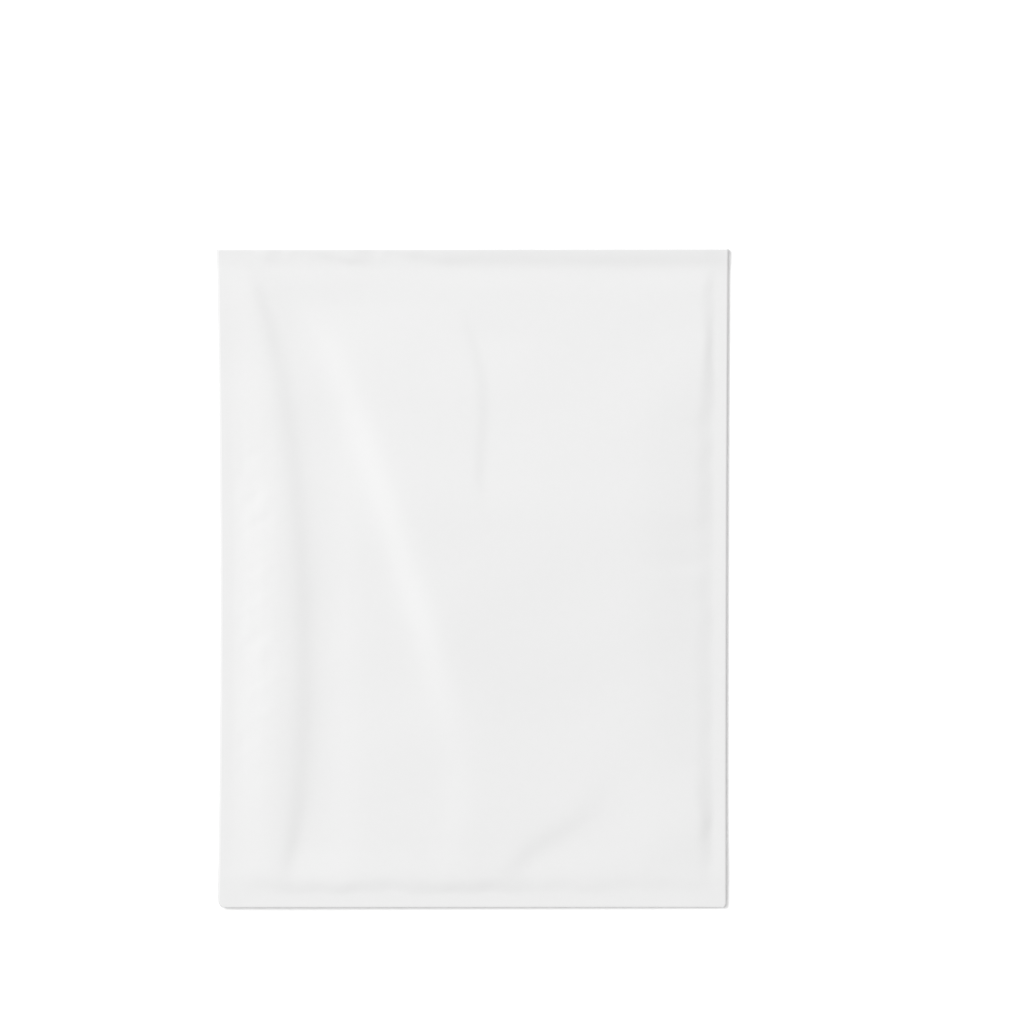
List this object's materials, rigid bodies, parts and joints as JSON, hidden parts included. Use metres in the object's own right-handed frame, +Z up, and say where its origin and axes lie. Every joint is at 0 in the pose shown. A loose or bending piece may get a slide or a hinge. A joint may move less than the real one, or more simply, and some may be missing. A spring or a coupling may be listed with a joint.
{
  "type": "padded envelope",
  "caption": "Flat white paper mailing envelope with a bubble-film lining, sealed side seams and a flap folded behind that carries an adhesive closing strip.",
  "frame": {"origin": "on the surface the envelope lies on, under the middle of its outline", "axes": "+X across the envelope, +Y towards the flap's fold, +Z up out of the plain address face"},
  "size_m": [0.37, 0.48, 0.0063],
  "materials": {
    "white_kraft": "white machine-glazed kraft paper, satin outside",
    "bubble_film": "clear polyethylene bubble film",
    "adhesive": "hot-melt adhesive, tacky and glossy",
    "release_paper": "silicone-coated paper, smooth",
    "tape_film": "thin white film with plain grey printed bars"
  },
  "bodies": {
    "root": {"outer_envelope": "white_kraft", "bubble_lining": "bubble_film", "adhesive_strip": "adhesive", "release_strip": "release_paper", "tear_tape": "tape_film"}
  },
  "joints": []
}
